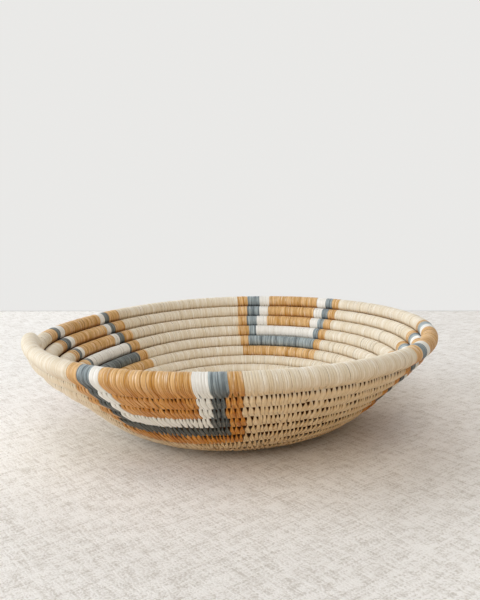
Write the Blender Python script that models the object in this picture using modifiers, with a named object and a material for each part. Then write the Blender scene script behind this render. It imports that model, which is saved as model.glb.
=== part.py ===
import math

import bmesh
import bpy
from mathutils import Vector

# Shape of the bowl, in metres and degrees. The rim is measured at the coil's outer end.
RIM_RADIUS = 0.1525
HEIGHT = 0.0761
WALL_SLOPE = 48.2
FOOT_CURVE_RADIUS = 0.068
CENTRE_HOLE_RADIUS = 0.0008
COIL_END_ANGLE = 190.0

# The coil and its wrapping
COIL_PITCH = 0.01094
ROW_GAP = 0.0009
WRAP_THICKNESS = 0.0008
CORE_CLEARANCE = 0.0003
REST_CUT = 0.0005
END_ROUNDING_LENGTH = 0.003
END_THICKNESS = 0.007
START_THICKNESS = 0.004

# Where one wrapping strand stops and the next begins
STRAND_GAP = 0.0003
CUT_TO_BEND = 0.0016

# The stepped pattern: one colour for each of the upper rows, repeated on four sides
PATTERN_SIDES = {"front": 251.5, "right": 340.5, "back": 67.2, "left": 156.8}
PATTERN_ROWS = ("tan", "tan", "tan", "white", "slate", "tan")
PATTERN_WIDTH = 42.4
PATTERN_NARROWING = 0.6

CORNERS_PER_TURN = 24
SIDES = 6
SAMPLES_PER_SIDE = 8

COLOURS = {
    "natural": (0.72, 0.60, 0.42, 1.0),
    "tan": (0.56, 0.30, 0.12, 1.0),
    "white": (0.82, 0.78, 0.71, 1.0),
    "slate": (0.19, 0.21, 0.22, 1.0),
    "grass": (0.40, 0.31, 0.14, 1.0),
}
ROUGHNESS = {"natural": 0.6, "tan": 0.6, "white": 0.65, "slate": 0.65, "grass": 0.8}

slope = math.radians(WALL_SLOPE)
coil_across = COIL_PITCH - ROW_GAP
core_depth = WRAP_THICKNESS + CORE_CLEARANCE
corner_share = 1 / math.cos(math.pi / SIDES)
coil_radius = coil_across / 2 * corner_share
full_radius = CENTRE_HOLE_RADIUS + coil_across / 2
spiral_start = CENTRE_HOLE_RADIUS - coil_across / 2 + START_THICKNESS
low_line = coil_radius - REST_CUT
rise = HEIGHT - coil_radius - low_line
wall_length = (rise - FOOT_CURVE_RADIUS * (1 - math.cos(slope))) / math.sin(slope)
curve_length = FOOT_CURVE_RADIUS * slope
rim_line = RIM_RADIUS - coil_radius
flat_radius = rim_line - wall_length * math.cos(slope) - FOOT_CURVE_RADIUS * math.sin(slope)
flat_from = wall_length + curve_length
turn_count = (flat_from + flat_radius - spiral_start) / COIL_PITCH

for old in list(bpy.data.objects):
    bpy.data.objects.remove(old)

bowl_parts = bpy.data.collections.new("coiled_basket_bowl")
cutters = bpy.data.collections.new("cutters")
bpy.context.scene.collection.children.link(bowl_parts)
bpy.context.scene.collection.children.link(cutters)
bowl = bpy.data.objects.new("bowl", None)
bowl_parts.objects.link(bowl)

materials = {}
for colour, value in COLOURS.items():
    material = bpy.data.materials.new(colour)
    material.use_nodes = True
    shader = material.node_tree.nodes["Principled BSDF"]
    shader.inputs["Base Color"].default_value = value
    shader.inputs["Roughness"].default_value = ROUGHNESS[colour]
    shader.inputs["Metallic"].default_value = 0.0
    material.diffuse_color = value
    materials[colour] = material


def profile(along):
    """Radius, height and slope on an even spiral, a distance down the wall from the rim."""
    if along < wall_length:
        left = wall_length - along
        radius = flat_radius + FOOT_CURVE_RADIUS * math.sin(slope) + left * math.cos(slope)
        height = low_line + FOOT_CURVE_RADIUS * (1 - math.cos(slope)) + left * math.sin(slope)
        return radius, height, slope
    if along < flat_from:
        bend = (flat_from - along) / FOOT_CURVE_RADIUS
        radius = flat_radius + FOOT_CURVE_RADIUS * math.sin(bend)
        return radius, low_line + FOOT_CURVE_RADIUS * (1 - math.cos(bend)), bend
    return flat_radius - (along - flat_from), low_line, 0.0


def corner(index):
    """A bend of the coil: its place and the wall's slope there. Bends lie in line from row to row."""
    turn = index / CORNERS_PER_TURN
    radius, height, lean = profile(turn * COIL_PITCH)
    if radius < full_radius:
        radius = (radius + full_radius) / 2
    angle = math.radians(COIL_END_ANGLE) + turn * math.tau
    return Vector((radius * math.cos(angle), radius * math.sin(angle), height)), lean


def on_coil(turn):
    """A point on the straight run between two bends, and the slope of the wall there."""
    index = math.floor(turn * CORNERS_PER_TURN)
    share = turn * CORNERS_PER_TURN - index
    here, lean_here = corner(index)
    following, lean_following = corner(index + 1)
    return here.lerp(following, share), lean_here + (lean_following - lean_here) * share


def run_length(turn):
    index = math.floor(turn * CORNERS_PER_TURN)
    return (corner(index + 1)[0] - corner(index)[0]).length


def moved(turn, distance):
    """The turn that lies a short distance further in along the same straight run."""
    return turn + distance / run_length(turn) / CORNERS_PER_TURN


def clear_of_bends(turn):
    index = math.floor(turn * CORNERS_PER_TURN)
    share = turn * CORNERS_PER_TURN - index
    margin = CUT_TO_BEND / run_length(turn)
    return (index + min(max(share, margin), 1 - margin)) / CORNERS_PER_TURN


def bends_between(first, last):
    low = math.floor(first * CORNERS_PER_TURN) + 1
    high = math.ceil(last * CORNERS_PER_TURN)
    return [index / CORNERS_PER_TURN for index in range(low, high)]


def thickness(turn):
    """Across the wrapped coil, which thins at its rounded end and where it starts."""
    here = on_coil(turn)[0]
    swollen = min(coil_across, 2 * (math.hypot(here.x, here.y) - CENTRE_HOLE_RADIUS))
    if turn > 1:
        return swollen
    rounded = min(1.0, (here - on_coil(0.0)[0]).length / END_ROUNDING_LENGTH)
    return END_THICKNESS + (swollen - END_THICKNESS) * rounded


def tube(name, turns, depth, capped):
    """A stretch of the coil, its surface lying a depth below the wrapping's."""
    curve = bpy.data.curves.new(name, "CURVE")
    curve.dimensions = "3D"
    curve.twist_mode = "Z_UP"
    curve.bevel_depth = coil_radius
    curve.bevel_resolution = 1
    curve.use_fill_caps = capped
    line = curve.splines.new("POLY")
    line.points.add(len(turns) - 1)
    for point, turn in zip(line.points, turns):
        place, lean = on_coil(turn)
        point.co = (*place, 1.0)
        point.tilt = math.pi / SIDES - lean
        point.radius = (thickness(turn) - 2 * depth) / coil_across
    return bpy.data.objects.new(name, curve)


def place_part(item, colour):
    item.data.materials.append(materials[colour])
    bowl_parts.objects.link(item)
    item.parent = bowl


def hollow(item):
    wall = item.modifiers.new("wrap wall", "SOLIDIFY")
    wall.thickness = WRAP_THICKNESS
    wall.offset = -1
    wall.use_even_offset = True


def sleeve(name, colour, first, last):
    """The wrapping between two cuts: a hollow stretch round the core, open at both ends."""
    first = moved(first, STRAND_GAP / 2)
    last = moved(last, -STRAND_GAP / 2)
    turns = [first, *bends_between(first, last), last]
    item = tube(name, turns, 0.0, False)
    place_part(item, colour)
    hollow(item)
    return item


def end_sleeve(name, colour, first, last, closed_first):
    """The wrapping at an end of the coil, closed over the core's end."""
    cut = last if closed_first else first
    cut = moved(cut, -STRAND_GAP / 2 if closed_first else STRAND_GAP / 2)
    if closed_first:
        last = cut
        turns = [first, moved(first, END_ROUNDING_LENGTH), *bends_between(first, last), last]
    else:
        first = cut
        turns = [first, *bends_between(first, last), last]
    stretch = tube(name, turns, 0.0, False)
    bowl_parts.objects.link(stretch)
    bpy.context.view_layer.update()
    graph = bpy.context.evaluated_depsgraph_get()
    mesh = bpy.data.meshes.new_from_object(stretch.evaluated_get(graph))
    matrix = stretch.matrix_world.copy()
    bpy.data.objects.remove(stretch)
    shell = bmesh.new()
    shell.from_mesh(mesh)
    bmesh.ops.remove_doubles(shell, verts=shell.verts, dist=0.00001)
    closed_end = on_coil(0.0 if closed_first else turn_count)[0]
    rim = [
        edge
        for edge in shell.edges
        if edge.is_boundary and (edge.verts[0].co - closed_end).length < coil_across
    ]
    bmesh.ops.edgeloop_fill(shell, edges=rim)
    bmesh.ops.recalc_face_normals(shell, faces=shell.faces)
    shell.to_mesh(mesh)
    shell.free()
    mesh.materials.clear()
    mesh.shade_smooth()
    item = bpy.data.objects.new(name, mesh)
    item.matrix_world = matrix
    place_part(item, colour)
    hollow(item)
    return item


def outline_points(turn, depth):
    """Points round the coil's section, square to its run and a depth below the wrapping's surface."""
    place, lean = on_coil(turn)
    index = turn * CORNERS_PER_TURN
    at_bend = abs(index - round(index)) < 0.01
    squeeze = 1.0 if at_bend else math.cos(math.pi / CORNERS_PER_TURN)
    outward = Vector((place.x, place.y, 0.0)).normalized()
    ring = []
    for side in range(SIDES):
        angle = lean + (side + 0.5) * math.tau / SIDES
        reach = (thickness(turn) / 2 - depth) * corner_share
        ring.append(outward * reach * math.cos(angle) * squeeze + Vector((0, 0, reach * math.sin(angle))))
    points = []
    for side in range(SIDES):
        for step in range(SAMPLES_PER_SIDE):
            share = step / SAMPLES_PER_SIDE
            points.append(place + ring[side].lerp(ring[(side + 1) % SIDES], share))
    return points


def least_gap(depth):
    """The least distance from any row to the row below it, measured on points."""
    least = math.inf
    for half_index in range(math.floor((turn_count - 1) * CORNERS_PER_TURN) * 2):
        turn = half_index / CORNERS_PER_TURN / 2
        for one in outline_points(turn, depth):
            for other in outline_points(turn + 1, depth):
                least = min(least, (one - other).length)
    return least


# The grass bundle inside: one unbroken tube from the rim to the middle of the base
core_first = moved(0.0, END_ROUNDING_LENGTH + core_depth)
core_last = moved(turn_count, -2 * core_depth)
core = tube(
    "foundation_coil",
    [core_first, *bends_between(core_first, core_last), core_last],
    core_depth,
    True,
)
place_part(core, "grass")

# The upper rows: coloured wrapping in the pattern, natural wrapping between
last_cut = 0.0
last_side = None
for row, colour in enumerate(PATTERN_ROWS, 1):
    half_width = (PATTERN_WIDTH - PATTERN_NARROWING * (row - 1)) / 720
    for side, angle in PATTERN_SIDES.items():
        middle = row - 1 + (angle - COIL_END_ANGLE) % 360 / 360
        starts = clear_of_bends(middle - half_width)
        stops = clear_of_bends(middle + half_width)
        if last_side is None:
            end_sleeve("wrap_natural_coil_end", "natural", 0.0, starts, True)
        else:
            sleeve(f"wrap_natural_{last_side}_{side}_{row}", "natural", last_cut, starts)
        sleeve(f"wrap_{colour}_{side}_{row}", colour, starts, stops)
        last_cut = stops
        last_side = side

# The plain rows under the pattern, down to where the coil clears the surface that the bowl stands on
rest_bend = math.acos(1 - REST_CUT / FOOT_CURVE_RADIUS)
clear_turn = (flat_from - rest_bend * FOOT_CURVE_RADIUS) / COIL_PITCH
plain_rows = math.floor(clear_turn - last_cut)
for plain in range(plain_rows):
    following_cut = clear_of_bends(last_cut + 1)
    sleeve(f"wrap_natural_row_{len(PATTERN_ROWS) + plain + 1}", "natural", last_cut, following_cut)
    last_cut = following_cut

# The base, with the faces that it stands on
base = end_sleeve("wrap_natural_base", "natural", last_cut, turn_count, False)
block_height = COIL_PITCH
bpy.ops.mesh.primitive_cube_add(size=1, location=(0, 0, -block_height / 2))
block = bpy.context.object
block.name = "standing_plane"
block.scale = (2 * RIM_RADIUS, 2 * RIM_RADIUS, block_height)
for holder in list(block.users_collection):
    holder.objects.unlink(block)
cutters.objects.link(block)
block.hide_render = True
block.display_type = "WIRE"
trim = base.modifiers.new("standing faces", "BOOLEAN")
trim.operation = "DIFFERENCE"
trim.solver = "EXACT"
trim.object = block

bpy.context.view_layer.update()
print("turns:", round(turn_count, 3), "plain rows:", plain_rows)
print("radius of the flat base in mm:", round(flat_radius * 1000, 2))
print("least gap of the grass coil to itself in mm:", round(least_gap(core_depth) * 1000, 3))
print("least gap of the wrapped coil to itself in mm:", round(least_gap(0.0) * 1000, 3))
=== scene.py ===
import bisect
import math

import bpy
import numpy as np
from mathutils import Matrix, Vector


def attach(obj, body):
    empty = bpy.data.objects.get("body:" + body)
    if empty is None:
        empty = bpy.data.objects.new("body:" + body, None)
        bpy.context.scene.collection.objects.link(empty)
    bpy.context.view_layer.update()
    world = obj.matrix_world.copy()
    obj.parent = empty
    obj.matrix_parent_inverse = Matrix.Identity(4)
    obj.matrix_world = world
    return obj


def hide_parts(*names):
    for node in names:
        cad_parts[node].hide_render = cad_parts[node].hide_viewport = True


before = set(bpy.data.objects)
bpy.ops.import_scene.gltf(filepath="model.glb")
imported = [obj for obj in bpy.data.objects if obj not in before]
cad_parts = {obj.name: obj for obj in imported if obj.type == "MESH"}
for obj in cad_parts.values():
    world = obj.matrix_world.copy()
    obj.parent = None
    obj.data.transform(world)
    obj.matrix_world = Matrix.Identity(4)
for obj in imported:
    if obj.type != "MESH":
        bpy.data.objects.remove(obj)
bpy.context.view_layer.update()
print("loaded the CAD nodes:", len(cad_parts))


# camera, at the photograph's angle

cameraView = {
    "place": (0.00691, -0.51749, 0.17705),
    "lookDown": 9.545,  # degrees below level
    "roll": -1.55,
    "lens": 42.16,  # in mm, like the sensor's width
    "sensorWidth": 36,
    "clipStart": 0.01,
}


def addCamera():
    lookDown = math.radians(cameraView["lookDown"])
    roll = math.radians(cameraView["roll"])
    back = Vector((0, -math.cos(lookDown), math.sin(lookDown)))
    level = Vector((1, 0, 0))
    upright = back.cross(level)
    right = level * math.cos(roll) + upright * math.sin(roll)
    up = upright * math.cos(roll) - level * math.sin(roll)
    camData = bpy.data.cameras.new("photoCamera")
    camData.lens = cameraView["lens"]
    camData.sensor_width = cameraView["sensorWidth"]
    camData.clip_start = cameraView["clipStart"]
    camera = bpy.data.objects.new("photoCamera", camData)
    camera.matrix_world = Matrix(
        (
            (right.x, up.x, back.x, cameraView["place"][0]),
            (right.y, up.y, back.y, cameraView["place"][1]),
            (right.z, up.z, back.z, cameraView["place"][2]),
            (0, 0, 0, 1),
        )
    )
    bpy.context.scene.collection.objects.link(camera)
    bpy.context.scene.camera = camera


addCamera()
bpy.context.scene.view_settings.view_transform = "Standard"
print("camera placed")


# the coil: one spiral from its outer end on the rim down the wall and in to the middle of the base

# sizes are in mm and angles in degrees; rows and turns are counted from the coil's outer end
bowlShape = {
    "rimLine": 146.7,  # spiral axis to the coil's centre line at its outer end
    "baseLine": 5.3,  # height of the centre line on the base
    "topLine": 70.3,  # and on the rim
    "wallSlope": 48.2,
    "footCurve": 68.0,  # radius of the bend between the wall and the base
    "coilEndAngle": 190.0,  # where the outer end lies, round the bowl
    "pitch": 10.94,  # row to row
    "fullRadius": 5.82,  # inside this the coil thins to its start
    "startTurnRadius": -0.22,
    # how far each row stands out from the straight wall, from the rim inward; the wall is fuller at the left
    "standsOut": (0, 0.9, 0.9, 0.2, -0.8, -1.5, -1.7, -1.3, -0.6, 0),
    "leftStandsOut": (-0.3, 1.9, 2.2, 1.3, 0.3, -0.5, -0.9, -0.6, 0, 0),
    "leftAngle": 195.0,
    "leftReach": 75.0,
    "frontAngle": 245.0,  # the rows lie wider apart at the front
    "frontReach": 48.0,
    "frontSinkRows": (0, 6, 12),
    "frontSink": (0, 3.3, 0),
    "innerLeftAngle": 152.0,  # and, less, at the left
    "innerLeftReach": 45.0,
    "innerLeftSink": (0, 0, 0.3, 1.0, 1.9, 2.3, 1.2, 0),  # by row
    "rimAngles": (195, 225, 240, 262, 302, 335),  # the rim is thicker at the front
    "rimRises": (-1.0, -1.9, -1.1, 0.85, 0.85, 0),
    "rimSwellings": (0, 0.07, 0.08, 0.09, 0.09, 0),
    "risesAtEnd": (0, 2.6, 2.2, 1.4, 0.6),  # rows rise where they run up to the coil's outer end
    "riseTurns": (-0.12, -0.015),  # turns past the end's place, where each rise starts and is whole
    "fallTurns": (-0.008, 0.05),  # and where it starts to fall and is gone
    "samples": 40001,  # along the spiral, to measure it
}
slope = math.radians(bowlShape["wallSlope"])
footRise = bowlShape["footCurve"] * (1 - math.cos(slope))
wallLength = (bowlShape["topLine"] - bowlShape["baseLine"] - footRise) / math.sin(slope)
wallFoot = bowlShape["rimLine"] - wallLength * math.cos(slope)
flatRadius = wallFoot - bowlShape["footCurve"] * math.sin(slope)
flatFrom = wallLength + bowlShape["footCurve"] * slope
turnCount = (flatFrom + flatRadius - bowlShape["startTurnRadius"]) / bowlShape["pitch"]


# 0 below low, 1 above high, and a soft step between them
def smooth(low, high, x):
    share = np.clip((x - low) / (high - low), 0, 1)
    return share * share * (3 - 2 * share)


# 1 at an angle round the bowl, falling to 0 within a reach on either side
def nearness(turn, angle, reach):
    away = (bowlShape["coilEndAngle"] + 360 * turn - angle + 180) % 360 - 180
    return smooth(0, 1, 1 - np.abs(away) / reach)


def alongRim(turn, sizes):
    return np.interp(bowlShape["coilEndAngle"] + 360 * turn, bowlShape["rimAngles"], sizes)


# radius, height and lean of the coil's centre line
def coilLine(turn):
    turn = np.asarray(turn, dtype=float)
    sink = nearness(turn, bowlShape["frontAngle"], bowlShape["frontReach"])
    sink = sink * np.interp(turn, bowlShape["frontSinkRows"], bowlShape["frontSink"])
    leftSink = np.interp(turn, np.arange(len(bowlShape["innerLeftSink"])), bowlShape["innerLeftSink"])
    sink = sink + leftSink * nearness(turn, bowlShape["innerLeftAngle"], bowlShape["innerLeftReach"])
    along = turn * bowlShape["pitch"] + sink
    bend = np.clip((flatFrom - along) / bowlShape["footCurve"], 0, slope)
    up = np.where(along < wallLength, wallLength - along, 0)
    inward = np.clip(along - flatFrom, 0, None)
    radius = flatRadius + bowlShape["footCurve"] * np.sin(bend) + up * math.cos(slope) - inward
    height = bowlShape["baseLine"] + bowlShape["footCurve"] * (1 - np.cos(bend)) + up * math.sin(slope)
    radius = np.where(radius < bowlShape["fullRadius"], (radius + bowlShape["fullRadius"]) / 2, radius)

    left = nearness(turn, bowlShape["leftAngle"], bowlShape["leftReach"])
    rows = np.arange(len(bowlShape["standsOut"]))
    out = np.interp(turn, rows, bowlShape["standsOut"])
    out = out + left * np.interp(turn, rows, bowlShape["leftStandsOut"])
    rise = alongRim(turn, bowlShape["rimRises"])
    riseFrom, riseTo = bowlShape["riseTurns"]
    fallFrom, fallTo = bowlShape["fallTurns"]
    for row, size in enumerate(bowlShape["risesAtEnd"]):
        fallen = smooth(row + fallFrom, row + fallTo, turn)
        rise = rise + size * smooth(row + riseFrom, row + riseTo, turn) * (1 - fallen)
    radius = radius + out * np.sin(bend) + rise * np.cos(bend)
    height = height - out * np.cos(bend) + rise * np.sin(bend)
    return radius, height, bend


turnTable = np.linspace(0, turnCount, bowlShape["samples"])
lineRadius = coilLine(turnTable)[0]
stepLengths = (lineRadius[1:] + lineRadius[:-1]) * math.pi * np.diff(turnTable)
runTable = np.concatenate([[0], np.cumsum(stepLengths)])
coilLength = runTable[-1]


# the turn reached after a run, which is a length of coil in mm from its outer end
def turnAt(run):
    return np.interp(run, runTable, turnTable)


def runAt(turn):
    return np.interp(turn, turnTable, runTable)


# the stitches: each is a strip of two fibres that wraps the coil once and dives into the row below

stitches = {
    "width": 2.72,
    "widthSpread": 0.05,  # these are shares of that width
    "leastWidth": 0.78,
    "mostWidth": 1.25,
    "squeezedWidth": 0.75,
    "squeezedCount": 3,
    "spareWidth": (0.5, 1.5),  # that a row gains before it takes one stitch more
    "plainTurn": 0.3,  # the part of a turn at the middle of the base where no edge is matched
    "endRoom": 6.0,  # mm at the coil's end, left for its last edges
    "endShares": (0.62, 0.3, 0),
    "straightRuns": (3, 18),  # nothing leans at the coil's end, which stays closed
    "seed": 11,
}


# laid from the middle of the base outward: an edge lies over an edge of the row below, and where a row has
# grown a whole stitch longer, four stitches go in over three
def layStitches():
    local = np.random.default_rng(stitches["seed"])
    width = stitches["width"]
    edges = [float(coilLength)]
    joints = [-turnCount]  # rising, for the search
    spare = 0.0
    squeezed = 0
    while edges[-1] > stitches["endRoom"]:
        last = edges[-1]
        below = float(turnAt(last - width)) + 1
        if squeezed:
            squeezed -= 1  # as wide as the one before it
        elif below < turnCount - stitches["plainTurn"]:
            index = bisect.bisect_left(joints, -below)
            nearest = min(joints[max(index - 1, 0) : index + 1], key=lambda t: abs(t + below))
            wide = last - float(runAt(-nearest - 1))
            wide = min(max(wide, stitches["leastWidth"] * width), stitches["mostWidth"] * width)
            if spare > local.uniform(*stitches["spareWidth"]):
                wide *= stitches["squeezedWidth"]
                squeezed = stitches["squeezedCount"]
        else:
            wide = width
        spare += wide / width - 1
        edges.append(last - wide)
        nudge = stitches["widthSpread"] * width * float(np.clip(local.normal(), -2, 2))
        joints.append(-float(turnAt(last - wide + nudge)))
    last = edges[-1]
    edges += [last * share for share in stitches["endShares"]]
    return np.array(edges[::-1])


edgeRuns = layStitches()
edgeTurns = turnAt(edgeRuns)
middleRuns = (edgeRuns[1:] + edgeRuns[:-1]) / 2
halfWidths = (edgeRuns[1:] - edgeRuns[:-1]) / 2
middleTurns = turnAt(middleRuns)
stitchCount = len(middleRuns)
leaning = smooth(*stitches["straightRuns"], middleRuns)  # 1 where the strips lean freely
isRow = (middleTurns >= 1)[:, None]  # false on the rim
print("stitches along the coil:", stitchCount, "coil length in m:", round(coilLength / 1000, 2))


# the stepped pattern and the CAD nodes that each stitch belongs to

pattern = {
    "sides": {"front": 251.5, "right": 340.5, "back": 67.2, "left": 156.8},  # degrees
    "halfWidth": 21.2,
    "narrowing": 0.3,  # degrees a row on each side, for the nodes
    "bands": {  # degrees from the middle, along the coil towards the centre of the base
        "front": (-21.2, -17.0, -13.8, -10.6, 10.7, 13.3, 17.3, 21.7),
        "right": (-20.6, -17.5, -13.9, -11.2, 8.3, 12.3, 16.0, 19.3),
        "back": (-20.9, -17.0, -14.5, -11.0, 8.9, 12.5, 16.4, 20.9),
        "left": (-19.1, -14.5, -12.4, -9.5, 10.1, 12.8, 15.7, 19.6),
    },
    "shifts": {  # degrees, of the first four and of the last four of these edges, row by row, or of each
        "front": (
            (-0.9, 0, 0, 0, (0, -1.2, 0, 0), 0),
            ((0.1, 0.6, 0.6, 0), (0, 0.3, 0, -0.9), (0, 0.3, 0, -0.9), 0, 0, 0),
        ),
        "right": ((0, 0, 0, 0, 0, 0), (0, 0, 0, 0, 0, 0)),
        "back": (
            ((0.7, 0.4, 0, 0), 0.3, 0, 0, 0, 0.7),
            ((0.4, 0, 0.7, 0), (0, 0, 0.7, 0), (0, 0, 0.7, 0), -0.3, -1.0, -2.2),
        ),
        "left": (((0, 0, 0.6, 0), -0.2, -0.7, -1.2, -1.9, -3.0), (0.3, -0.4, 0, 0, 0, 0)),
    },
    "rows": (
        ("tan", "slate", "white", "tan", "white", "slate", "tan"),
        ("tan", "slate", "white", "tan", "white", "slate", "tan"),
        ("tan", "slate", "white", "tan", "white", "slate", "tan"),
        ("tan", "slate", "white", "white", "white", "slate", "tan"),
        ("tan", "slate", "slate", "slate", "slate", "slate", "tan"),
        ("tan", "tan", "tan", "tan", "tan", "tan", "tan"),
    ),
    "plainRows": (7, 8, 9),
}


# the turn at which each node starts, its name, and each stitch's colour
def layOutPattern():
    starts = []
    names = []
    colours = np.array(["natural"] * stitchCount, dtype=object)
    lastSide = None
    for row, bandColours in enumerate(pattern["rows"]):
        half = pattern["halfWidth"] - pattern["narrowing"] * row
        for side, angle in pattern["sides"].items():
            middle = row + (angle - bowlShape["coilEndAngle"]) % 360 / 360
            if lastSide is None:
                starts.append(0.0)
                names.append("wrap_natural_coil_end")
            else:
                names.append(f"wrap_natural_{lastSide}_{side}_{row + 1}")
            starts.append(middle - half / 360)
            names.append(f"wrap_{bandColours[3]}_{side}_{row + 1}")
            starts.append(middle + half / 360)
            lastSide = side
            first, second = (shift[row] for shift in pattern["shifts"][side])
            moved = np.concatenate([np.broadcast_to(first, 4), np.broadcast_to(second, 4)])
            edges = np.array(pattern["bands"][side]) + moved
            offset = (middleTurns - middle) * 360
            for colour, low, high in zip(bandColours, edges, edges[1:]):
                colours[(offset >= low) & (offset < high)] = colour
    for row in pattern["plainRows"]:
        names.append(f"wrap_natural_row_{row}")
        starts.append(starts[-1] + 1)
    names.append("wrap_natural_base")
    return np.array(starts), names, colours


nodeStarts, nodeNames, stitchColours = layOutPattern()
stitchNodes = np.searchsorted(nodeStarts, middleTurns, side="right") - 1
isSlate = stitchColours == "slate"
print("pattern laid out over", len(nodeNames), "wrapped stretches")


# the points of a strip: stations from its tail's tip round the coil to the crease inside, and columns across

# an angle on the coil is 0 out through the wall, 90 up towards the rim and 180 to the inside
stripGrid = {
    "tailShares": (1.0, 1.0, 0.88, 0.7, 0.5, 0.3, 0.14, 0.0),  # of the way to the tip, where the first dives
    "tailAngle": 83.0,  # the tail's length as an angle of the coil
    "leavingAngle": -5.0,  # where the tail leaves the coil
    "outerAngles": (5, 15, 25, 34, 43, 54, 66, 78),
    "innerAngles": (91, 235, 13),  # first, end and step
    "creaseAngles": (246, 258),
    "columns": (-1, -0.87, -0.5, -0.13, 0, 0.13, 0.5, 0.87, 1.0),
    "columnDips": (1, 0.2, 0, 0.24, 1, 0.24, 0, 0.2, 1.0),
    "splitWidth": 0.2,  # columns this near the middle lie in the split between the two fibres
    "outsideAngles": (20, 75),  # the strip's outer side ends between these
}
tailShares = np.array(stripGrid["tailShares"])
tailCount = len(tailShares)
roundAngles = np.concatenate(
    [stripGrid["outerAngles"], np.arange(*stripGrid["innerAngles"]), stripGrid["creaseAngles"]]
)
stationAngles = np.concatenate([np.full(tailCount, stripGrid["leavingAngle"]), roundAngles])
openAngles = np.concatenate([stripGrid["leavingAngle"] - stripGrid["tailAngle"] * tailShares, roundAngles])
stationCount = len(stationAngles)
columns = np.array(stripGrid["columns"])
columnDips = np.array(stripGrid["columnDips"])
isSplit = np.abs(columns) < stripGrid["splitWidth"]
outside = 1 - smooth(*stripGrid["outsideAngles"], stationAngles)


# what differs from stitch to stitch by chance, drawn in this order

chanceRanges = {
    "openGap": (0.34, 0.56),  # the V-shaped hole over a stitch, as a share of its width
    "luck": (0, 1),
    "tailPinch": (0.76, 0.95),  # the tip's width, as a share
    "insidePinch": (0.84, 0.99),  # and the width at the crease inside
    "pastHole": (1, 8),  # degrees from the top of the hole to the tip
    "edgeDepth": (0.6, 1.35),
    "splitDepth": (0.2, 1.25),
    "lift": (-0.08, 0.09),  # mm
    "tilt": (-0.1, 0.1),
    "tones": (-2.2, 2.2),  # of the two fibres, normal within these
    "grainStart": (0, 40),  # cm
}


def drawChances():
    local = np.random.default_rng(stitches["seed"] + 1)
    drawn = {}
    for name, limits in chanceRanges.items():
        if name == "tones":
            drawn[name] = local.normal(size=(stitchCount, 2)).clip(*limits)
        else:
            drawn[name] = local.uniform(*limits, stitchCount)
    return drawn


chances = drawChances()


# slow variation along the coil, a length in mm from knot to knot
def waves(seed, length, size):
    local = np.random.default_rng(seed)
    knots = local.normal(size=int(coilLength / length) + 4)  # a few to spare
    return np.interp(middleRuns / length, np.arange(len(knots)), knots) * size


# the wrapped coil's skin

coilSkin = {
    "thickAcrossWall": 5.6,  # half the coil's thickness
    "thickAlongWall": 5.45,
    "endLength": 4.6,  # of the rounded end on the rim
    "endLeast": 0.004,
    "endSwelling": 0.12,
    "swollenRuns": (8, 32),  # the swelling fades between these
    "startLeast": 0.05,  # of the full thickness, in the base
}


def roundedEnd(run, least=0.0):
    x = np.clip(run / coilSkin["endLength"], 0, 1)
    return np.sqrt(np.clip(1 - (1 - x) ** 2, least, 1))


# share of the full thickness: a rounded end on the rim, a thin start in the base
def fullness(run):
    turn = turnAt(run)
    radius = coilLine(turn)[0]
    swollen = 1 + coilSkin["endSwelling"] * (1 - smooth(*coilSkin["swollenRuns"], run))
    swollen = swollen + alongRim(turn, bowlShape["rimSwellings"])
    thinned = np.clip(radius / bowlShape["fullRadius"], coilSkin["startLeast"], 1)
    return roundedEnd(run, coilSkin["endLeast"]) * swollen * thinned


# radius and height of a point at a lift above the coil's skin
def onCoil(turn, angle, lift):
    radius, height, lean = coilLine(turn)
    thick = fullness(runAt(turn))
    across = (coilSkin["thickAcrossWall"] * thick + lift) * np.cos(angle)
    down = -(coilSkin["thickAlongWall"] * thick + lift) * np.sin(angle)
    return (
        radius - down * np.cos(lean) + across * np.sin(lean),
        height - down * np.sin(lean) - across * np.cos(lean),
    )


# points in metres
def pointsRound(turns, radius, height):
    angle = math.radians(bowlShape["coilEndAngle"]) + turns * 2 * math.pi
    return np.stack([radius * np.cos(angle), radius * np.sin(angle), height], axis=-1) / 1000


# the holes, each over a stitch and under the tip of the tail that the row above sends down

holes = {
    "angles": (48, 46, 37, 33, 26, 30, 32, 28),  # where the row above goes in, by row
    "anglesFrom": 0.3,  # turn of the first of them
    "frontAngles": (25, 25, 22, 17, 12, 3, 0, 6),
    "frontAnglesFrom": 0.15,
    "frontReach": 36.0,
    "leftAngle": 64.0,
    "leftReach": 52.0,
    "leftClosed": 0.8,
    "depths": (28, 30, 33, 42, 54, 58, 56, 46),  # degrees of the coil from the top of a hole to its point
    "depthsFrom": 0.5,
    "pointing": 0.75,  # below 1 the sides of the V bulge
    "closedAngles": (12, 34),  # above the top the strip is whole again
    "luckShut": 0.12,  # a share of the holes is nearly shut
    "shutGap": 0.35,
    "luckWide": 0.975,  # and above this luck one is as wide as can be
    "mostGap": 0.8,
    "lower": 1.7,  # the holes of the lower rows are wider, and those at the right of the front
    "lowerTurns": (2.8, 4.2),
    "right": 1.3,
    "rightAngle": 312.0,
    "rightReach": 45.0,
    "shares": {"natural": 1.0, "tan": 0.85, "white": 0.6, "slate": 0.75},
}


def holeAngleAt(turns):
    rows = np.arange(len(holes["angles"]))
    front = nearness(turns, bowlShape["frontAngle"], holes["frontReach"])
    angle = np.interp(turns - holes["anglesFrom"], rows, holes["angles"])
    frontAngle = np.interp(turns - holes["frontAnglesFrom"], rows, holes["frontAngles"])
    angle = angle + front * (frontAngle - angle)
    left = nearness(turns, bowlShape["leftAngle"], holes["leftReach"])
    return angle + left * (holes["leftAngle"] - angle)


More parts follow.
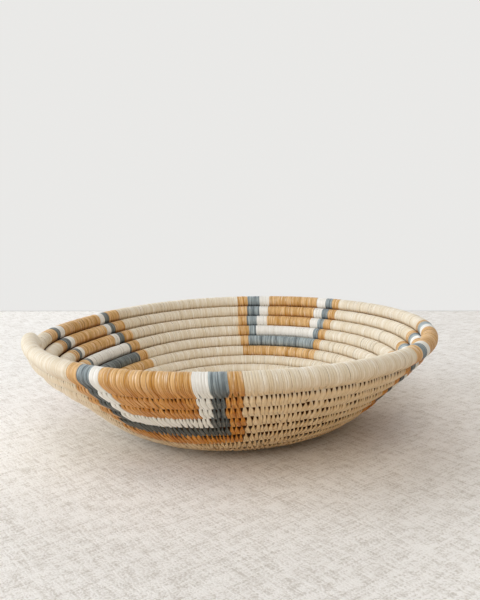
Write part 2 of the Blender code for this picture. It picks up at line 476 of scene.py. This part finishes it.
# width of each hole, as a share of its stitch
def holeGaps():
    gap = chances["openGap"]
    wide = np.where(chances["luck"] > holes["luckWide"], holes["mostGap"], gap)
    gap = np.where(chances["luck"] < holes["luckShut"], gap * holes["shutGap"], wide)
    gap = np.where(isRow[:, 0], gap, 0)
    gap = gap * np.array([holes["shares"][colour] for colour in stitchColours])
    gap = gap * (1 + (holes["lower"] - 1) * smooth(*holes["lowerTurns"], middleTurns))
    left = nearness(middleTurns, bowlShape["leftAngle"], holes["leftReach"])
    gap = gap * (1 - holes["leftClosed"] * left)
    right = nearness(middleTurns, holes["rightAngle"], holes["rightReach"])
    return np.clip(gap * (1 + (holes["right"] - 1) * right), 0, holes["mostGap"])


# how each strip lies: slants are in stitch widths along the coil

strips = {
    "innerSlant": 0.45,  # while it goes down the inside
    "innerSlantAngles": (60, 262),
    "outerSlant": 0.8,  # and down the outside, to its hole
    "faceSlant": 0.25,  # of which on the coil itself
    "faceSlantAngles": (-5, 100),
    "uprightAngle": 262.0,  # where it hangs more nearly straight
    "uprightReach": 24.0,
    "uprightShare": 0.55,
    "leastShift": -0.3,
    "mostShift": 1.1,
    "shiftShares": (0.1, 0.95),  # of the tail's way, over which it leans
    "sway": {"seed": 21, "length": 34, "size": 0.16},  # groups of strips lean one way
    "pinchShares": (0.65, 1.0),
    "insidePinchAngles": (224, 256),
    "diveWidth": 0.7,
    "diveDepth": -2.6,
    "diveAngle": 6,
    "tipLift": 0.16,
    "lastTurnPart": 0.05,  # a hole this near the coil's start has no row to go into
    "bareEnd": 5.0,  # nor has a strip this near its outer end
    "tuckAngle": -80.0,  # where a tail with no row below ends on its own coil
    "leastHeight": 0.05,  # worn flat where the bowl stands
}


# the turns that each tail moves along to go in between two strips of the row below, and whether it has one
def aimTails(tipAngle):
    widthTurns = stitches["width"] / (2 * math.pi * coilLine(middleTurns)[0])
    faceTurns = strips["faceSlant"] * widthTurns
    belowTurns = faceTurns * (1 - smooth(*strips["faceSlantAngles"], tipAngle))
    upright = nearness(middleTurns, strips["uprightAngle"], strips["uprightReach"])
    outerSlant = strips["outerSlant"] * (1 - strips["uprightShare"] * upright)
    holeTurn = middleTurns + 1 + outerSlant * widthTurns - belowTurns
    index = np.clip(np.searchsorted(edgeTurns, holeTurn), 1, len(edgeTurns) - 1)
    before = np.abs(edgeTurns[index - 1] - holeTurn) < np.abs(edgeTurns[index] - holeTurn)
    index = np.where(before, index - 1, index)
    shift = edgeTurns[index] + belowTurns - (middleTurns + 1) - faceTurns
    onCoilBelow = holeTurn < turnCount - strips["lastTurnPart"]
    shift = np.where(onCoilBelow, shift, 0)
    shift = np.clip(shift, strips["leastShift"] * widthTurns, strips["mostShift"] * widthTurns)
    return shift * leaning, onCoilBelow & (middleRuns > strips["bareEnd"])


# half the width of each strip at each station, in mm
def stripWidths():
    depth = np.interp(middleTurns - holes["depthsFrom"], np.arange(len(holes["depths"])), holes["depths"])
    fromHole = openAngles[None, :] - holeAngleAt(middleTurns)[:, None]
    opened = np.clip(1 + fromHole / depth[:, None], 0, 1) ** holes["pointing"]
    closed = 1 - smooth(*holes["closedAngles"], fromHole)
    reach = 1 - holeGaps()[:, None] * opened * closed
    pinched = (1 - chances["tailPinch"][:, None]) * smooth(*strips["pinchShares"], tailShares[None, :])
    reach[:, :tailCount] *= 1 - pinched
    reach[:, 0] *= strips["diveWidth"]
    pinched = smooth(*strips["insidePinchAngles"], roundAngles[None, :])
    reach[:, tailCount:] -= (1 - chances["insidePinch"][:, None]) * pinched
    return halfWidths[:, None] * reach


# run and turn of every point
def stripRuns(widths, shift):
    slants = strips["faceSlant"] * (1 - smooth(*strips["faceSlantAngles"], stationAngles))
    slants = slants - strips["innerSlant"] * smooth(*strips["innerSlantAngles"], stationAngles)
    swayShare = np.sin(np.radians(np.clip(stationAngles, 0, 180)))
    moved = waves(**strips["sway"])[:, None] * swayShare + stitches["width"] * slants
    runs = (
        middleRuns[:, None, None]
        + (moved * leaning[:, None])[:, :, None]
        + columns[None, None, :] * widths[:, :, None]
    )
    shiftShare = np.zeros(stationCount)
    shiftShare[:tailCount] = smooth(*strips["shiftShares"], tailShares)
    turns = turnAt(np.clip(runs, 0.0, coilLength)) + (shift[:, None] * shiftShare[None, :])[:, :, None]
    return runs, np.clip(turns, 0.0, turnCount)


# the relief of a strip's face, in mm above the coil's skin

relief = {
    "edge": {"inner": 0.36, "outer": 0.85, "easing": 0.35},  # outer is on the wall's outside only
    "split": {"inner": 0.33, "outer": 0.16, "easing": 0.45},
    "easingAngles": (95, 150),  # dips are shallower on the inside, by their easing
    "endBridge": 2.4,  # the strips at the coil's end also go round the row below
    "bridgeRuns": (12, 34),
    "bridgeAngles": (200, 250),
    "swell": {"seed": 22, "length": 60, "size": 0.1},
}


# depth of a dip at every station
def dipAlong(inner, outer, easing, depth):
    eased = inner * (1 - easing * smooth(*relief["easingAngles"], stationAngles))
    return (depth[:, None] * (eased + (outer - inner) * outside * isRow))[:, :, None]


def stripLifts(runs):
    edge = dipAlong(**relief["edge"], depth=chances["edgeDepth"])
    split = dipAlong(**relief["split"], depth=chances["splitDepth"])
    lift = -np.where(isSplit, split, edge) * columnDips
    nearEnd = 1 - smooth(*relief["bridgeRuns"], middleRuns)
    bridgeShare = smooth(*relief["bridgeAngles"], stationAngles)
    bridge = relief["endBridge"] * nearEnd[:, None, None] * bridgeShare[None, :, None]
    lift = (lift + bridge) * roundedEnd(runs)
    lift += (chances["lift"] + waves(**relief["swell"]))[:, None, None]
    lift += chances["tilt"][:, None, None] * columns[None, None, :]
    return lift


# the tail runs straight from the coil to its hole in the row below
def placeStrips(turns, lift, tipAngle, hasRowBelow):
    radius, height = onCoil(turns, np.radians(stationAngles)[None, :, None], lift)
    own = turns[:, :tailCount]
    below = np.minimum(own + 1, turnCount)
    dives = (np.arange(tailCount) == 0)[None, :, None]
    tailLift = lift[:, :tailCount] + np.where(dives, strips["diveDepth"], strips["tipLift"])
    endAngle = np.radians(tipAngle[:, None, None] + np.where(dives, strips["diveAngle"], 0))
    ends = onCoil(below, endAngle, tailLift)
    ownEnds = onCoil(own, np.radians(strips["tuckAngle"]), tailLift)
    for line, end, ownEnd in zip((radius, height), ends, ownEnds):
        end = np.where(hasRowBelow[:, None, None], end, ownEnd)
        line[:, :tailCount] += (end - line[:, :tailCount]) * tailShares[None, :, None]
    return pointsRound(turns, radius, np.maximum(height, strips["leastHeight"]))


# what the fibre's material reads at each point: its fibre's tone, painted shade where it lies deep, and
# painted shade on the wall's outside and the rim's underside

toneAndPaintedShade = {
    "middleTone": 0.5,
    "toneSpread": 0.2,
    "toneSplit": 0.05,  # a column this near the middle takes the mean of the two fibres' tones
    "rimAngles": (-70, 115),  # painted shade on the rim's outer, lower side
    "rim": 0.8,
    "rows": (0.8, 0.95),  # and painted shade on the wall's outside, more towards the base
    "rowTurns": (1, 6),
    "leftPaintedLight": 0.75,  # painted light: less painted shade at the left, where the light falls, on all but the slate stitches
    "leftSlateShade": 0.6,  # painted shade on the slate stitches at the left
    "leftSlateReach": 60,
    "crease": 0.85,  # painted shade in the crease inside, and at the tip
    "creaseAngles": (218, 252),
    "tipCrease": 0.6,
    "tipShares": (0.8, 1.0),
    "split": 0.7,  # painted shade in the split and at the edges, and what is taken off or added on the outside
    "outerSplit": -0.35,
    "edge": 0.8,
    "outerEdge": 0.2,
}


def paintedShadeAlong():
    # painted shade, warm and dark, on the rim's outer side and on the wall's outside
    rim = toneAndPaintedShade["rim"] * (1 - smooth(*toneAndPaintedShade["rimAngles"], openAngles))
    rows = outside * np.interp(middleTurns, toneAndPaintedShade["rowTurns"], toneAndPaintedShade["rows"])[:, None]
    # painted light: the left, where the light falls, gets less painted shade
    left = nearness(middleTurns, bowlShape["leftAngle"], bowlShape["leftReach"]) * ~isSlate
    paintedShade = np.where(isRow, rows, rim) * (1 - toneAndPaintedShade["leftPaintedLight"] * left[:, None])
    # painted shade: the slate stitches at the left are darkened
    atLeft = nearness(middleTurns, pattern["sides"]["left"], toneAndPaintedShade["leftSlateReach"])
    return np.maximum(paintedShade, toneAndPaintedShade["leftSlateShade"] * (isSlate * atLeft)[:, None])


def paintStrips():
    tones = chances["tones"]
    bothTones = tones.mean(axis=1, keepdims=True)
    side = toneAndPaintedShade["toneSplit"]
    tone = np.where(columns < -side, tones[:, :1], np.where(columns > side, tones[:, 1:], bothTones))
    # painted shade: darker in the crease inside, at the tips, in the splits and at the edges
    crease = toneAndPaintedShade["crease"] * smooth(*toneAndPaintedShade["creaseAngles"], stationAngles)
    crease[:tailCount] = toneAndPaintedShade["tipCrease"] * smooth(*toneAndPaintedShade["tipShares"], tailShares)
    splitDeep = (toneAndPaintedShade["split"] + toneAndPaintedShade["outerSplit"] * outside * isRow)[:, :, None]
    edgeDeep = (toneAndPaintedShade["edge"] + toneAndPaintedShade["outerEdge"] * outside * isRow)[:, :, None]
    look = np.ones((stitchCount, stationCount, len(columns), 4))
    look[..., 0] = (toneAndPaintedShade["middleTone"] + toneAndPaintedShade["toneSpread"] * tone)[:, None, :]
    look[..., 1] = np.maximum(columnDips * np.where(isSplit, splitDeep, edgeDeep), crease[:, None])
    # the third channel carries the painted shade on the outside
    look[..., 2] = paintedShadeAlong()[:, :, None]
    return look


# the strips laid flat, in cm, for the grain
def flattenStrips(points, widths):
    steps = np.linalg.norm(np.diff(points, axis=1), axis=-1)
    start = np.zeros((stitchCount, 1, len(columns)))
    lengthAlong = np.concatenate([start, np.cumsum(steps, axis=1)], axis=1)
    flat = np.zeros((stitchCount, stationCount, len(columns), 2))
    flat[..., 0] = (middleRuns[:, None, None] + columns * widths[:, :, None]) / 10
    flat[..., 1] = lengthAlong * 100 + chances["grainStart"][:, None, None]
    return flat


def makeStrips():
    tipAngle = holeAngleAt(middleTurns + 1) + chances["pastHole"]
    shift, hasRowBelow = aimTails(tipAngle)
    widths = stripWidths()
    runs, turns = stripRuns(widths, shift)
    points = placeStrips(turns, stripLifts(runs), tipAngle, hasRowBelow)
    return points, paintStrips(), flattenStrips(points, widths)


stripPoints, stripLook, stripFlat = makeStrips()
print("strips shaped:", stripPoints.shape)


# materials

# Colours by fibre: light and dark are its own tones, and fleck is its patches. The streak colour is a
# painted highlight. The groove colour is painted shade in grooves and creases. Outside is the tint that
# painted shade multiplies in on the wall's outside and the rim's underside.
fibreLooks = {
    "natural": {
        "light": (0.88, 0.82, 0.71),
        "dark": (0.74, 0.64, 0.475),
        "paintedHighlight": (0.95, 0.93, 0.88),
        "shadedGroove": (0.44, 0.26, 0.09),
        "fleck": (0.70, 0.56, 0.37),
        "outside": (1.0, 0.765, 0.47),
        "roughness": 0.36,
        "specular": 0.5,
    },
    "tan": {
        "light": (0.86, 0.59, 0.30),
        "dark": (0.51, 0.255, 0.045),
        "paintedHighlight": (0.97, 0.84, 0.70),
        "shadedGroove": (0.28, 0.09, 0.01),
        "fleck": (0.74, 0.50, 0.24),
        "outside": (0.85, 0.465, 0.0),
        "roughness": 0.33,
        "specular": 0.32,
    },
    "white": {
        "light": (0.93, 0.925, 0.91),
        "dark": (0.83, 0.815, 0.775),
        "paintedHighlight": (0.94, 0.935, 0.92),
        "shadedGroove": (0.62, 0.55, 0.45),
        "fleck": (0.84, 0.79, 0.70),
        "outside": (0.98, 0.93, 0.83),
        "roughness": 0.42,
        "specular": 0.5,
    },
    "slate": {
        "light": (0.46, 0.545, 0.58),
        "dark": (0.105, 0.135, 0.155),
        "paintedHighlight": (0.60, 0.66, 0.69),
        "shadedGroove": (0.022, 0.024, 0.026),
        "fleck": (0.36, 0.40, 0.42),
        "outside": (0.175, 0.135, 0.08),
        "roughness": 0.36,
        "specular": 0.28,
    },
}
fibreGrain = {
    "grain": (46, 1.6, 1),  # across the fibre, and along it
    "grainDetail": 4.0,
    "streak": (9, 0.8, 1),
    "streakDetail": 3.0,
    "noiseRoughness": 0.6,
    "patch": 38.0,
    "patchDetail": 2.0,
    "toneRange": (0.1, 0.9),
    "blends": (  # what varies, from its value for none to that for most, how much, and towards which colour
        ("streak", 0.52, 0.66, 0.6, "dark"),
        # painted highlight: pale streaks along the fibres
        ("streak", 0.46, 0.34, 0.6, "paintedHighlight"),
        ("grain", 0.56, 0.75, 0.4, "dark"),
        ("patch", 0.55, 0.8, 0.4, "fleck"),
        # painted shade in grooves, splits and creases
        ("shadedGroove", 0.3, 1.0, 0.8, "shadedGroove"),
    ),
    "roughRange": (0.36, 0.62),
    "roughSpread": (-0.06, 0.16),
    "sheen": 0.08,
    "sheenRoughness": 0.35,
    "bump": 0.5,
    "bumpDistance": 0.00012,
}


def linkNodes(tree, pairs):
    for source, target in pairs:
        tree.links.new(source, target)


def addMix(tree, kind, factor, one, two):
    mix = tree.nodes.new("ShaderNodeMix")
    mix.data_type = "RGBA"
    mix.blend_type = kind
    for socket, value in ((mix.inputs[0], factor), (mix.inputs[6], one), (mix.inputs[7], two)):
        if hasattr(value, "is_output"):
            tree.links.new(value, socket)
        elif isinstance(value, (int, float)):
            socket.default_value = value
        else:
            socket.default_value = (*value, 1)
    return mix.outputs[2]


def addNoise(tree, vector, scale, detail=3.0, rough=0.55):
    noise = tree.nodes.new("ShaderNodeTexNoise")
    noise.inputs["Scale"].default_value = scale
    noise.inputs["Detail"].default_value = detail
    noise.inputs["Roughness"].default_value = rough
    tree.links.new(vector, noise.inputs["Vector"])
    return noise.outputs["Fac"]


def addRange(tree, value, low, high, outLow=0.0, outHigh=1.0):
    span = tree.nodes.new("ShaderNodeMapRange")
    span.inputs["From Min"].default_value = low
    span.inputs["From Max"].default_value = high
    span.inputs["To Min"].default_value = outLow
    span.inputs["To Max"].default_value = outHigh
    tree.links.new(value, span.inputs["Value"])
    return span.outputs["Result"]


def addBump(tree, height, strength, distance):
    bump = tree.nodes.new("ShaderNodeBump")
    bump.inputs["Strength"].default_value = strength
    bump.inputs["Distance"].default_value = distance
    tree.links.new(height, bump.inputs["Height"])
    tree.links.new(bump.outputs["Normal"], tree.nodes["Principled BSDF"].inputs["Normal"])


def stretched(tree, source, scale, turn=0.0):
    mapping = tree.nodes.new("ShaderNodeMapping")
    mapping.inputs["Scale"].default_value = scale
    mapping.inputs["Rotation"].default_value = (0, 0, turn)
    tree.links.new(source, mapping.inputs["Vector"])
    return mapping.outputs["Vector"]


def newMaterial(name):
    material = bpy.data.materials.new(name)
    material.use_nodes = True
    return material, material.node_tree, material.node_tree.nodes["Principled BSDF"]


def alongFibre(tree):
    uv = tree.nodes.new("ShaderNodeUVMap")
    uv.uv_map = "alongFibre"
    return uv.outputs["UV"]


def objectPlace(tree):
    return tree.nodes.new("ShaderNodeTexCoord").outputs["Object"]


def makeFibre(name):
    look = fibreLooks[name]
    material, tree, shader = newMaterial(f"{name}Fibre")
    painted = tree.nodes.new("ShaderNodeAttribute")
    painted.attribute_name = "fibre"
    split = tree.nodes.new("ShaderNodeSeparateColor")
    tree.links.new(painted.outputs["Color"], split.inputs["Color"])
    # the fibre's own tone, then painted shade in grooves and creases, then painted shade on the outside
    tone, shadedGroove, paintedShade = split.outputs

    flat = alongFibre(tree)
    grain = stretched(tree, flat, fibreGrain["grain"])
    streak = stretched(tree, flat, fibreGrain["streak"])
    varying = {
        "grain": addNoise(tree, grain, 1.0, fibreGrain["grainDetail"], fibreGrain["noiseRoughness"]),
        "streak": addNoise(tree, streak, 1.0, fibreGrain["streakDetail"], fibreGrain["noiseRoughness"]),
        "patch": addNoise(tree, objectPlace(tree), fibreGrain["patch"], fibreGrain["patchDetail"]),
        "shadedGroove": shadedGroove,
    }
    base = addMix(tree, "MIX", addRange(tree, tone, *fibreGrain["toneRange"]), look["dark"], look["light"])
    for kind, low, high, most, colour in fibreGrain["blends"]:
        base = addMix(tree, "MIX", addRange(tree, varying[kind], low, high, 0.0, most), base, look[colour])
    # painted shade: the warm, dark outside tint is multiplied in on the wall's outside and the rim's
    # underside, less at the left
    base = addMix(tree, "MULTIPLY", paintedShade, base, look["outside"])
    tree.links.new(base, shader.inputs["Base Color"])

    smoothest, roughest = (look["roughness"] + spread for spread in fibreGrain["roughSpread"])
    rough = addRange(tree, varying["streak"], *fibreGrain["roughRange"], smoothest, roughest)
    tree.links.new(rough, shader.inputs["Roughness"])
    shader.inputs["Specular IOR Level"].default_value = look["specular"]
    shader.inputs["Sheen Weight"].default_value = fibreGrain["sheen"]
    shader.inputs["Sheen Roughness"].default_value = fibreGrain["sheenRoughness"]
    addBump(tree, varying["grain"], fibreGrain["bump"], fibreGrain["bumpDistance"])
    return material


shadedGrassLook = {
    "stems": (0.5, 9, 1),  # along the coil, and round it
    "stemRange": (0.35, 0.65),
    # far darker than dry grass: painted shade of the holes, with the stems' own tone varying between these
    "dark": (0.045, 0.013, 0.004),
    "light": (0.13, 0.05, 0.014),
    "roughness": 0.8,
    "specular": 0.15,
    "bumpDistance": 0.0004,
}


def makeGrass():
    material, tree, shader = newMaterial("shadedGrassCore")
    stems = addNoise(tree, stretched(tree, alongFibre(tree), shadedGrassLook["stems"]), 1.0)
    stems = addRange(tree, stems, *shadedGrassLook["stemRange"])
    colour = addMix(tree, "MIX", stems, shadedGrassLook["dark"], shadedGrassLook["light"])
    tree.links.new(colour, shader.inputs["Base Color"])
    shader.inputs["Roughness"].default_value = shadedGrassLook["roughness"]
    shader.inputs["Specular IOR Level"].default_value = shadedGrassLook["specular"]
    addBump(tree, stems, 1.0, shadedGrassLook["bumpDistance"])
    return material


fibreMaterials = {name: makeFibre(name) for name in fibreLooks}
grassMaterial = makeGrass()
print("materials made")


def addGridMesh(name, points, faces, flat, look=None):
    mesh = bpy.data.meshes.new(name)
    mesh.vertices.add(len(points))
    mesh.vertices.foreach_set("co", points.astype(np.float32).ravel())
    mesh.loops.add(faces.size)
    mesh.loops.foreach_set("vertex_index", faces.astype(np.int32).ravel())
    mesh.polygons.add(len(faces))
    mesh.polygons.foreach_set("loop_start", np.arange(0, faces.size, 4, dtype=np.int32))
    mesh.polygons.foreach_set("loop_total", np.full(len(faces), 4, dtype=np.int32))
    mesh.polygons.foreach_set("use_smooth", np.ones(len(faces), dtype=bool))
    layer = mesh.uv_layers.new(name="alongFibre")
    layer.data.foreach_set("uv", flat[faces.ravel()].astype(np.float32).ravel())
    if look is not None:
        paint = mesh.color_attributes.new("fibre", "FLOAT_COLOR", "POINT")
        paint.data.foreach_set("color", look.astype(np.float32).ravel())
    mesh.update(calc_edges=True)
    mesh.validate()
    piece = bpy.data.objects.new(name, mesh)
    bpy.context.scene.collection.objects.link(piece)
    return piece


# faces of a number of strips, each a grid of stations by columns
def stripFaces(count):
    station, column = np.meshgrid(np.arange(stationCount - 1), np.arange(len(columns) - 1), indexing="ij")
    corner = (station * len(columns) + column).ravel()
    one = np.stack([corner, corner + 1, corner + 1 + len(columns), corner + len(columns)], axis=1)
    offsets = np.arange(count) * stationCount * len(columns)
    return (one[None] + offsets[:, None, None]).reshape(-1, 4)


def addWrapping():
    facesEach = (stationCount - 1) * (len(columns) - 1)
    for number, node in enumerate(nodeNames):
        chosen = np.where(stitchNodes == number)[0]
        colours = stitchColours[chosen]
        main = node.split("_")[1]
        slots = [main] + sorted(set(colours) - {main})
        piece = addGridMesh(
            node.replace("wrap_", "strips_"),
            stripPoints[chosen].reshape(-1, 3),
            stripFaces(len(chosen)),
            stripFlat[chosen].reshape(-1, 2),
            stripLook[chosen].reshape(-1, 4),
        )
        for colour in slots:
            piece.data.materials.append(fibreMaterials[colour])
        slotIndex = np.array([slots.index(colour) for colour in colours], dtype=np.int32)
        piece.data.polygons.foreach_set("material_index", np.repeat(slotIndex, facesEach))
        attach(piece, "root")
        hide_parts(node)


addWrapping()
print("wrapping made:", len(nodeNames), "pieces")


# the grass core, seen only through the holes between stitches; its colour is darkened into painted shade of
# those holes

grassCore = {
    "radius": 4.3,
    "step": 3.0,
    "ends": (2.2, 1.5),  # run that it stays short of the wrapping, at the rim and in the base
    "angles": (0, 26, 52, 78, 104, 130, 156, 182, 208, 234, 254, 264, 276, 286, 309, 334),
    "keelRadius": 6.6,  # a narrow ridge of grass stems fills the crease to the row below
    "keelAngles": (264, 276),
    "thinning": 0.28,  # it thins a little more than the wrapping does
    "pastAxis": 0.3,  # the last turn's ridge fills the middle of the base
    "leastHeight": 0.4,
    "flatScale": (0.1, 0.6),  # of the stems' pattern, along the coil and round it
}


def addCore():
    startRun, endRun = grassCore["ends"]
    runs = np.arange(startRun, coilLength - endRun, grassCore["step"])
    turns = turnAt(runs)[:, None]
    angles = np.radians(grassCore["angles"])[None, :]
    isKeel = np.isin(grassCore["angles"], grassCore["keelAngles"])[None, :]
    radius, height, lean = coilLine(turns)
    full = fullness(runs)[:, None]
    thinned = np.clip(1 - grassCore["thinning"] + grassCore["thinning"] * full, 0, 1)
    size = grassCore["radius"] * full * thinned
    pastAxis = grassCore["pastAxis"]
    keel = np.where(turns > turnCount - 1, radius + pastAxis, grassCore["keelRadius"] * full)
    size = np.where(isKeel, keel, size)
    across = size * np.cos(angles)
    down = -size * np.sin(angles)
    radius = np.maximum(radius - down * np.cos(lean) + across * np.sin(lean), -pastAxis)
    height = np.maximum(height - down * np.sin(lean) - across * np.cos(lean), grassCore["leastHeight"])
    points = pointsRound(turns, radius, height)
    sides = len(grassCore["angles"])
    ring, side = np.meshgrid(np.arange(len(runs) - 1), np.arange(sides), indexing="ij")
    beside = (side + 1) % sides
    here, there = ring * sides, (ring + 1) * sides
    faces = np.stack([here + side, here + beside, there + beside, there + side], axis=-1)
    flatAlong, flatRound = grassCore["flatScale"]
    flat = np.stack(np.broadcast_arrays(runs[:, None] * flatAlong, angles * flatRound), axis=-1)
    core = addGridMesh("grassCoil", points.reshape(-1, 3), faces.reshape(-1, 4), flat.reshape(-1, 2))
    core.data.materials.append(grassMaterial)
    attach(core, "root")
    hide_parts("foundation_coil")


addCore()
print("grass core made")


# floor and backdrop, in metres except where a note says mm

stage = {
    "size": 12,
    "clothColour": (0.95, 0.94, 0.93),
    "hollowShadeColour": (0.56, 0.525, 0.485),
    "threadWidth": 1.5,  # mm
    "threadLength": 7.0,  # thread widths, from thick to thin
    "threadDetail": 1.5,
    "slubs": 0.4,  # the share of the thicker threads in the cloth's height
    "slubThickness": 3,
    "slubLength": 2,
    "fuzz": 0.3,  # and that of the fuzz
    "fuzzScale": 1.3,
    "deepRange": (0.53, 0.40, 0.0, 0.75),  # a thread's height, and how far the cloth darkens into painted shade where the threads lie low
    "drift": (1, 1.4, 1),
    "driftScale": 60.0,
    "driftRange": (0.35, 0.7, 0.0, 0.4),
    "driftColour": (0.93, 0.92, 0.91),
    "clothTurn": 52.0,  # degrees
    "roughness": 0.9,
    "specular": 0.2,
    "bump": 0.8,
    "bumpDistance": 0.0012,
    "wallColour": (0.82, 0.815, 0.80),
    "clothEdge": 0.443,  # behind the bowl's axis
    "edgeTurn": -8.4,  # degrees
    "farHeight": 0.0003,
}


# 1 where the camera sees the backdrop itself, also in a reflection or through glass
def addSeenRays(tree):
    rays = tree.nodes.new("ShaderNodeLightPath")
    total = rays.outputs["Is Camera Ray"]
    for name in ("Is Glossy Ray", "Is Transmission Ray"):
        add = tree.nodes.new("ShaderNodeMath")
        add.use_clamp = True
        linkNodes(tree, ((total, add.inputs[0]), (rays.outputs[name], add.inputs[1])))
        total = add.outputs[0]
    return total


# the wall's own colour where the camera sees it, and the lit one for all other light
def addSeenColour(tree, kind, lit, surface):
    seen = tree.nodes.new(kind)
    seen.inputs["Color"].default_value = (*stage["wallColour"], 1)
    choose = tree.nodes.new("ShaderNodeMixShader")
    linkNodes(
        tree,
        (
            (addSeenRays(tree), choose.inputs[0]),
            (lit.outputs[0], choose.inputs[1]),
            (seen.outputs[0], choose.inputs[2]),
            (choose.outputs[0], surface),
        ),
    )


# height of the cloth's threads, which run both ways and are thick and thin along their length
def addThreads(tree, place):
    heights = []
    across = 1000 / stage["threadWidth"]
    along = across / stage["threadLength"]
    slubScale = (across / stage["slubThickness"], along / stage["slubLength"], 1)
    for direction in (0, 90):
        turned = stretched(tree, place, (1, 1, 1), math.radians(stage["clothTurn"] + direction))
        threads = addNoise(tree, stretched(tree, turned, (across, along, 1)), 1.0, stage["threadDetail"])
        slubs = addNoise(tree, stretched(tree, turned, slubScale), 1.0, 1.0)
        heights.append(addMix(tree, "MIX", stage["slubs"], threads, slubs))
    both = addMix(tree, "MIX", 0.5, *heights)
    return addMix(tree, "MIX", stage["fuzz"], both, addNoise(tree, place, across * stage["fuzzScale"], 1.0))


def makeCloth():
    material, tree, shader = newMaterial("paleCloth")
    shader.inputs["Roughness"].default_value = stage["roughness"]
    shader.inputs["Specular IOR Level"].default_value = stage["specular"]
    place = objectPlace(tree)
    threads = addThreads(tree, place)
    drift = addNoise(tree, stretched(tree, place, stage["drift"]), stage["driftScale"])
    deep = addRange(tree, threads, *stage["deepRange"])
    # painted shade in the weave's hollows, where the threads lie low
    tone = addMix(tree, "MIX", deep, stage["clothColour"], stage["hollowShadeColour"])
    tone = addMix(tree, "MULTIPLY", addRange(tree, drift, *stage["driftRange"]), tone, stage["driftColour"])
    tree.links.new(tone, shader.inputs["Base Color"])
    addBump(tree, threads, stage["bump"], stage["bumpDistance"])
    return material


def makeWall():
    material, tree, shader = newMaterial("paleWall")
    shader.inputs["Base Color"].default_value = (*stage["wallColour"], 1)
    shader.inputs["Roughness"].default_value = stage["roughness"]
    surface = tree.nodes["Material Output"].inputs["Surface"]
    addSeenColour(tree, "ShaderNodeEmission", shader, surface)
    return material


def addPlane(name, location, turn, material):
    bpy.ops.mesh.primitive_plane_add(size=stage["size"], location=location, rotation=(0, 0, turn))
    plane = bpy.context.object
    plane.name = name
    plane.data.materials.append(material)
    return plane


def addFloor():
    floor = addPlane("paleFloor", (0, 0, 0), 0, makeCloth())
    turn = math.radians(stage["edgeTurn"])
    half = stage["size"] / 2
    middle = (-half * math.sin(turn), stage["clothEdge"] + half * math.cos(turn), stage["farHeight"])
    far = addPlane("farFloor", middle, turn, makeWall())


# lamps and world

lights = {
    "aim": (0, 0, 0.03),
    "size": 1.6,
    "world": 0.185,
    "worldColour": (1.0, 0.87, 0.72),
    "lamps": {
        "left": {"place": (-2.0, 0.0, 0.9), "power": 28.5, "colour": (0.90, 0.955, 1.0)},
        "back": {"place": (0.0, 2.0, 1.0), "power": 25, "colour": (0.97, 0.99, 1.0)},
        "above": {"place": (-1.0, 0.3, 1.9), "power": 7, "colour": (1.0, 1.0, 1.0)},
        "frontLow": {"place": (-0.9, -1.5, 0.4), "power": 7, "colour": (1.0, 0.96, 0.90)},
        "frontHigh": {"place": (0.2, -1.2, 1.8), "power": 16.5, "colour": (1.0, 0.97, 0.92)},
    },
    "unmirrored": ("back",),  # it would draw a white line along the rim
}


def addLamps():
    for name, facts in lights["lamps"].items():
        lampData = bpy.data.lights.new(name, "AREA")
        lampData.size = lights["size"]
        lampData.energy = facts["power"]
        lampData.color = facts["colour"]
        lamp = bpy.data.objects.new(name, lampData)
        lamp.location = facts["place"]
        direction = Vector(lights["aim"]) - Vector(facts["place"])
        lamp.rotation_euler = direction.to_track_quat("-Z", "Y").to_euler()
        lamp.visible_camera = False
        lamp.visible_glossy = name not in lights["unmirrored"]
        bpy.context.scene.collection.objects.link(lamp)


def addWorld():
    world = bpy.data.worlds.new("studio")
    bpy.context.scene.world = world
    world.use_nodes = True
    tree = world.node_tree
    light = tree.nodes["Background"]
    light.inputs["Color"].default_value = (*lights["worldColour"], 1)
    light.inputs["Strength"].default_value = lights["world"]
    addSeenColour(tree, "ShaderNodeBackground", light, tree.nodes["World Output"].inputs["Surface"])


addFloor()
addLamps()
addWorld()
print("stage and lights made")
